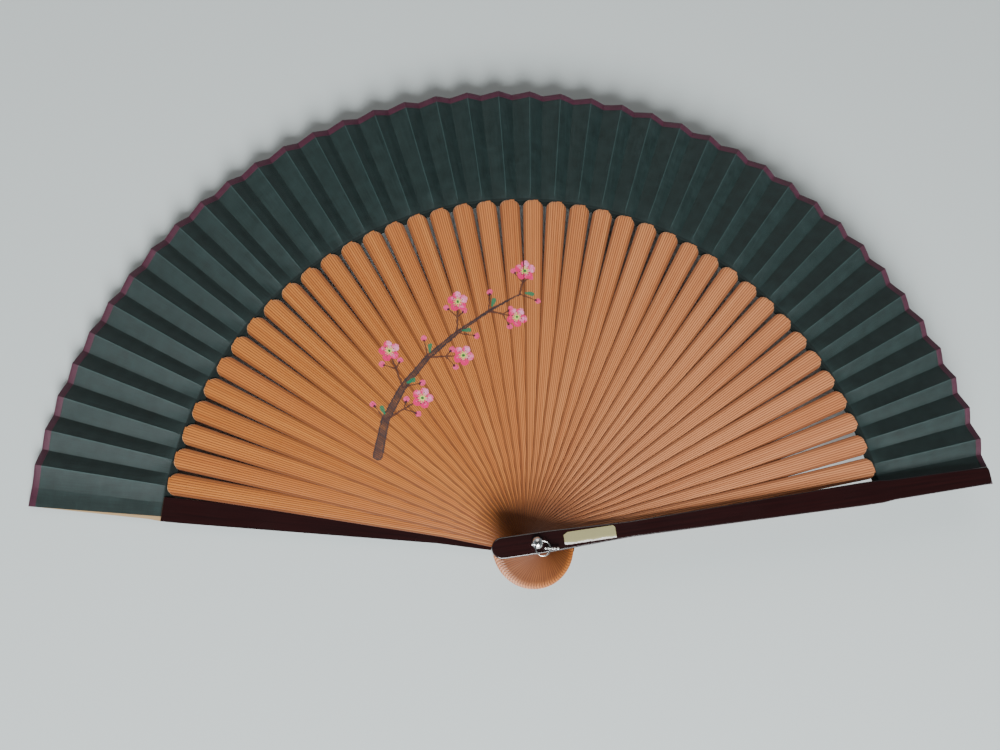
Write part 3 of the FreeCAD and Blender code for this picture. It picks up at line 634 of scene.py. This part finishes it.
def slat_mesh(number):
    """Points, faces, strand and tip of a slat with its rivet hole, and how many faces are its top."""
    rows, columns = len(SLAT), len(ACROSS)
    top = [(x, y, z) for line in SLAT for x, y, z, _, _ in line]
    under = [(x, y, 0.0) for line in SLAT for x, y, _, _, _ in line]
    strand = [(f, x, number) for line in SLAT for x, _, _, f, _ in line]
    tip = [end for line in SLAT for *_, end in line]
    r0, r1 = patch_range([line[COLUMNS // 2][0] for line in SLAT], PATCH_ALONG)
    c0, c1 = patch_range([f * HEAD_HALF for f in ACROSS], PATCH_ACROSS)

    def in_patch(i, j):
        return r0 <= i < r1 and c0 <= j < c1

    count = rows * columns
    faces = grid_faces(rows, columns, in_patch)
    top_faces = len(faces)
    faces += grid_faces(rows, columns, in_patch, first=count, turned=True)
    faces += border_walls(rows, columns, count)
    ring = [r0 * columns + j for j in range(c0, c1)] + [i * columns + c1 for i in range(r0, r1)]
    ring += [r1 * columns + j for j in range(c1, c0, -1)] + [i * columns + c0 for i in range(r1, r0, -1)]
    points = top + under
    hole = len(points)
    for level in (0, count):
        for index in ring:
            x, y, z = points[index + level]
            shrink = HOLE_RADIUS / math.hypot(x, y)
            points.append((x * shrink, y * shrink, z if level else STICK_THICK - GROOVE))
            strand.append((strand[index][0] * shrink, x * shrink, number))
            tip.append(0.0)
    strand = strand[:count] + strand[:count] + strand[count:]
    tip = tip[:count] + [0.0] * count + tip[count:]
    size = len(ring)
    for i in range(size):
        n = (i + 1) % size
        faces.append((ring[i], ring[n], hole + n, hole + i))
        faces.append((ring[i] + count, hole + size + i, hole + size + n, ring[n] + count))
        faces.append((hole + i, hole + n, hole + size + n, hole + size + i))
    return points, faces, strand, tip, top_faces


# ---- pleats ----

LEAF_INNER, LEAF_OUTER = 139.9, 190.9
PLEAT_RISE = ((LEAF_INNER, 0.10), (141.8, 0.12), (143.2, 0.34), (146.5, 0.84), (151.0, 1.32), (RIM_REACH, 1.70))
GLUE_LIFT = ((LEAF_INNER, -0.38), (142.0, -0.36), (142.5, 0.15), (143.2, 0.17), (RIM_REACH, 0.17))
LEAF_ROWS = (LEAF_INNER, 141.0, 142.0, 142.5, 143.2, 144.2, 146.0, 149.0, 152.5, 157.0, 162.0, 167.0, 172.0,
             177.0, 182.0, 186.0, 189.0, LEAF_OUTER)
PANEL_SHARES = (0.0, 0.05, 0.2, 0.27, 0.5, 0.73, 0.8, 0.95, 1.0)
RIB_SHARES = (PANEL_SHARES[3], PANEL_SHARES[5])
EDGE_SHARES = (0.0, 0.5, 1.0)  # for the strips glued to the guards
SAG, SAG_CHANGE, PRESS = 0.16, 0.08, 0.04


def fold_place(index, side, radius):
    """Bearing and height of a fold at a radius. side is ridge or valley; index 0 and 41 are the guards."""
    lift, rise = between(radius, GLUE_LIFT), between(radius, PLEAT_RISE)
    if index == 0:
        return stick_bearing(0) + BACK_FOLD_TURN, GUARD_THICK - RECESS + max(lift, 0.10)
    if index == STICKS + 1:
        return stick_bearing(index) + RIDGE_TURN, FRONT_LAYER + RECESS - max(lift, 0.10)
    middle = stick_floor(index) + STICK_THICK / 2 + lift
    if side == "ridge":
        return stick_bearing(index) + RIDGE_TURN, middle + rise * (0.75 if index == STICKS else 1.0)
    return stick_bearing(index) + VALLEY_TURN, middle - rise * (0.85 if index == 1 else 1.0)


def wobble(number, radius, seed):
    """A slow, small unevenness along a fold, in millimetres."""
    a = math.sin(radius * 0.11 + number * 2.4 + seed) * 0.5 + math.sin(radius * 0.23 + number * 4.1) * 0.5
    return a * between(radius, ((143, 0.0), (155, 0.10), (191, 0.16)))


def panel_points(radius, start, end, number, glued, shares=PANEL_SHARES):
    """Points across a panel from one fold to the next: (bearing, height, distance from the start fold).

    A glued panel stands up over its rib and is pressed down beside it. A free one sags and is uneven.
    """
    (b0, h0), (b1, h1) = start, end
    width = math.hypot(radius * math.radians(b0 - b1), h1 - h0)
    line = []
    for share in shares:
        bearing, height = b0 + share * (b1 - b0), h0 + share * (h1 - h0)
        full = between(radius, ((143, 0.0), (150, 1.0)))
        if share in (0.0, 1.0):
            pass
        elif glued:
            if RIB_SHARES[0] <= share <= RIB_SHARES[1]:
                height += PRESS * full
            height -= PRESS * full * (1 if share in (0.2, 0.8) else 0)
        else:
            height -= math.sin(math.pi * share) * (SAG + SAG_CHANGE * math.sin(number * 1.7)) * full
            height += wobble(number, radius, 1.3) * math.sin(math.pi * share) * full
        line.append((bearing, height, share * width))
    return line


def pleat_line(number, radius):
    """Points across pleat number at a radius: the free panel up to the stick's ridge, then the glued one."""
    rise_to = fold_place(number, "ridge", radius)
    line = []
    before = 0.0
    if number == 1:
        edge = (stick_bearing(0) + EDGE_TURN, fold_place(0, "ridge", radius)[1])
        line += panel_points(radius, edge, fold_place(0, "ridge", radius), 0, True, EDGE_SHARES)[:-1]
        before = radius * math.radians(EDGE_TURN - BACK_FOLD_TURN)
    for bearing, height, along in panel_points(radius, fold_place(number - 1, "valley", radius), rise_to,
                                               number, False):
        line.append((bearing, height, before + along))
    before = line[-1][2]
    if number == STICKS + 1:
        end = (stick_bearing(number) - EDGE_TURN, rise_to[1])
        after = panel_points(radius, rise_to, end, number, True, EDGE_SHARES)
    else:
        after = panel_points(radius, rise_to, fold_place(number, "valley", radius), number, True)
    line += [(bearing, height, before + along) for bearing, height, along in after[1:]]
    return line


def bend_with(piece):
    """Bakes the piece's placement into its mesh points.
    """
    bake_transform(piece)
    return piece


TAPE_INNER, TAPE_FACE = 188.7, 0.13


def tape_mesh(number):
    """A strip folded over the silk's outer edge: upper face, round edge, lower face."""
    section = ((TAPE_INNER, TAPE_FACE), (TAPE_INNER + 0.5, TAPE_FACE + 0.03), (190.2, TAPE_FACE + 0.02),
               (190.95, 0.09), (RIM_REACH, 0.0), (190.95, -0.09), (190.2, -TAPE_FACE - 0.02),
               (TAPE_INNER + 0.5, -TAPE_FACE - 0.03), (TAPE_INNER, -TAPE_FACE))
    points, cloth = [], []
    for radius, off in section:
        for bearing, height, along in pleat_line(number, radius):
            points.append(polar(radius, bearing, height + off))
            cloth.append((along, radius + (0 if off > 0 else 20), number))
    columns = len(pleat_line(number, RIM_REACH))
    faces = grid_faces(len(section), columns)
    last = (len(section) - 1) * columns
    faces += [(last + j, last + j + 1, j + 1, j) for j in range(columns - 1)]
    for j in (0, columns - 1):
        ends = [i * columns + j for i in range(len(section))]
        faces.append(ends if j else ends[::-1])
    return points, faces, cloth


for number in range(1, STICKS + 2):
    points, cloth, crease = [], [], []
    ridge = len(PANEL_SHARES) - 1 + (len(EDGE_SHARES) - 1 if number == 1 else 0)
    for radius in LEAF_ROWS:
        for column, (bearing, height, along) in enumerate(pleat_line(number, radius)):
            points.append(polar(radius, bearing, height))
            cloth.append((along, radius, number))
            crease.append(1.0 if column == ridge else 0.0)
    columns = len(pleat_line(number, LEAF_INNER))
    pleat = make_object(f"silk_pleat_{number:02d}", points, grid_faces(len(LEAF_ROWS), columns), [SILK],
                        attributes={"cloth": cloth, "crease": crease}, sharp=14)
    bend_with(pleat)
    points, faces, cloth = tape_mesh(number)
    tape = make_object(f"rim_tape_{number:02d}", points, faces, [TAPE], attributes={"cloth": cloth}, sharp=35)
    bend_with(tape)
    inner = pleat_line(number, LEAF_INNER)[-1][2]
    outer = pleat_line(number, LEAF_OUTER)[-1][2]
    if number == 1:
        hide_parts("silk_leaf")
        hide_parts("rim_tape")

# ---- sticks with their ribs ----

RIB_ROWS = (139.2, 141.8, 142.6, 143.2, 144.6, 146.5, 148.6, 151.0, 160.0, 172.0, 182.0, 187.8)
RIB_HALF, RIB_THICK, RIB_DROP = 1.05, 0.15, 0.17


def rib_mesh(number):
    """The thin rib under the glued panel, in the fan's frame, and its place across and along."""
    flat = stick_floor(number) + STICK_THICK / 2
    points, strand = [], []
    for radius in RIB_ROWS:
        (b0, h0), (b1, h1) = fold_place(number, "ridge", radius), fold_place(number, "valley", radius)
        under_silk = between(radius, ((142.0, 0.0), (143.2, 1.0)))
        slope = (h0 - h1) / (radius * math.radians(b0 - b1)) * under_silk
        centre = flat + ((h0 + h1) / 2 - RIB_DROP - flat) * under_silk
        for side in (-1, 1):
            turn = (b0 + b1) / 2 + math.degrees(side * RIB_HALF / radius)
            for level in (-1, 1):
                height = centre + side * RIB_HALF * slope + level * RIB_THICK / 2
                points.append(polar(radius, turn, height))
                strand.append((side * 0.4, radius, number))
    faces = []
    for i in range(len(RIB_ROWS) - 1):
        a, b = 4 * i, 4 * i + 4
        for p, q in ((0, 1), (1, 3), (3, 2), (2, 0)):
            faces.append((a + p, a + q, b + q, b + p))
    faces.append((0, 2, 3, 1))
    faces.append(tuple(4 * (len(RIB_ROWS) - 1) + i for i in (0, 1, 3, 2)))
    return points, faces, strand


for number in range(1, STICKS + 1):
    to_fan = own_frame(number, stick_floor(number))
    points, faces, strand, tip, top_faces = slat_mesh(number)
    points = [to_fan @ Vector(p) for p in points]
    is_painted = any(reaching(marks, number) for marks in SPRAY)
    slots = [1 if is_painted and i < top_faces else 0 for i in range(len(faces))]
    rib_points, rib_faces, rib_strand = rib_mesh(number)
    offset = len(points)
    faces = list(faces) + [tuple(offset + i for i in face) for face in rib_faces]
    slots += [0] * len(rib_faces)
    materials = [PLAIN_BAMBOO] + ([bamboo(f"bamboo_painted_{number:02d}", number)] if is_painted else [])
    stick = make_object(f"bamboo_{number:02d}", points + rib_points, faces, materials, slots,
                        {"strand": strand + rib_strand, "tip": tip + [0.0] * len(rib_points)}, weld=0.002)
    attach(stick, body_name(number))
    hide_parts(f"stick_{number:02d}")

# ---- label ----

LABEL_START, LABEL_END, LABEL_HALF, LABEL_THICK = 10.4, 30.8, 2.4, 0.1
FACE_LAYER, LABEL_GAP = 0.03, 0.012


def make_label():
    """A blank strip of paper whose face layer has come away in a ragged strip along its lower edge."""
    rng = random.Random(5)
    stations = 60
    span = LABEL_END - LABEL_START
    top, torn_share = [], []
    for i in range(stations + 1):
        share = i / stations
        x = LABEL_START + share * span
        upper = LABEL_HALF - 0.9 * max(0, 0.09 - share) / 0.09 - 0.7 * max(0, share - 0.965) / 0.035
        lower = -LABEL_HALF + rng.uniform(0, 0.16) + 0.25 * max(0, 0.03 - share) / 0.03
        tear = 0.42 + 0.3 * math.sin(share * 9 + 1) ** 2 + rng.uniform(-0.09, 0.09)
        for y, torn in ((upper, 0.0), (0.9, 0.0), (0.0, 0.0), (-0.9, 0.0), (lower + tear + 0.05, 0.0),
                        (lower + tear, 1.0), (lower, 1.0)):
            lift = LABEL_THICK - (FACE_LAYER if torn else 0.0)
            top.append((x, y, lift))
            torn_share.append(torn)
    rows, count = stations + 1, len(top)
    columns = count // rows
    under = [(x, y, LABEL_GAP) for x, y, _ in top]
    faces = grid_faces(rows, columns) + grid_faces(rows, columns, first=count, turned=True)
    faces += border_walls(rows, columns, count)
    to_fan = own_frame(STICKS + 1, FRONT_TOP)
    points = [to_fan @ Vector(p) for p in top + under]
    label = make_object("paper_label", points, faces, [PAPER], attributes={"torn": torn_share + torn_share})
    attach(label, "guard_front")
    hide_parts("blank_label")


make_label()

# ---- CAD nodes that stay: guards, rivet, washer, ring and chain ----

CAD_LOOKS = {"guard_back": BACK_LACQUER, "guard_front": FRONT_LACQUER, "rivet": NICKEL,
             "rivet_washer": NICKEL, "jump_ring": NICKEL, "ball_chain": NICKEL}
for name, material in CAD_LOOKS.items():
    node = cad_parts[name]
    node.data.materials.clear()
    node.data.materials.append(material)

# ---- floor, light and camera ----

FLOOR_DROP = 0.0003  # in metres, as are the places of lamps and camera

bpy.ops.mesh.primitive_plane_add(size=6, location=(0, 0, -FLOOR_DROP))
floor = bpy.context.object
floor.name = "floor"
floor_material, s = new_material("floor")
s.surface(Base_Color=(0.60, 0.63, 0.62), Roughness=0.9)
floor.data.materials.append(floor_material)


def area_light(name, azimuth, elevation, distance, size, power, colour):
    """A square lamp aimed at the middle of the fan, in metres, watts and degrees. Azimuth is from +X."""
    lamp = bpy.data.lights.new(name, "AREA")
    lamp.size, lamp.energy, lamp.color = size, power, colour
    holder = bpy.data.objects.new(name, lamp)
    a, e = math.radians(azimuth), math.radians(elevation)
    direction = Vector((math.cos(a) * math.cos(e), math.sin(a) * math.cos(e), math.sin(e)))
    holder.location = Vector((0, 0.09, 0)) + direction * distance
    holder.rotation_euler = direction.to_track_quat("Z", "Y").to_euler()
    bpy.context.scene.collection.objects.link(holder)


area_light("window", azimuth=271, elevation=33, distance=1.5, size=0.85, power=58, colour=(0.92, 0.98, 1.0))
area_light("room", azimuth=100, elevation=40, distance=2.2, size=1.6, power=14, colour=(1.0, 0.97, 0.93))
world = bpy.data.worlds.new("soft_room")
world.use_nodes = True
s = Shader(world.node_tree)
background = world.node_tree.nodes["Background"]
upward = s.split(s.node("ShaderNodeTexCoord").outputs["Generated"])[2]
shade = s.mix(s.ramp(upward, 0.15, 0.85), (0.78, 0.90, 1.0), (0.16, 0.17, 0.18))
s.feed(background.inputs["Color"], shade)
background.inputs["Strength"].default_value = 0.32
bpy.context.scene.world = world

lens = bpy.data.cameras.new("camera")
lens.lens, lens.sensor_width = 33.75, 36.0
lens.clip_start, lens.clip_end = 0.01, 20
camera = bpy.data.objects.new("camera", lens)
camera.location = (-0.0589, -0.0105, 0.3748)
camera.rotation_euler = [math.radians(angle) for angle in (12.10, -7.07, -1.72)]
bpy.context.scene.collection.objects.link(camera)
bpy.context.scene.camera = camera
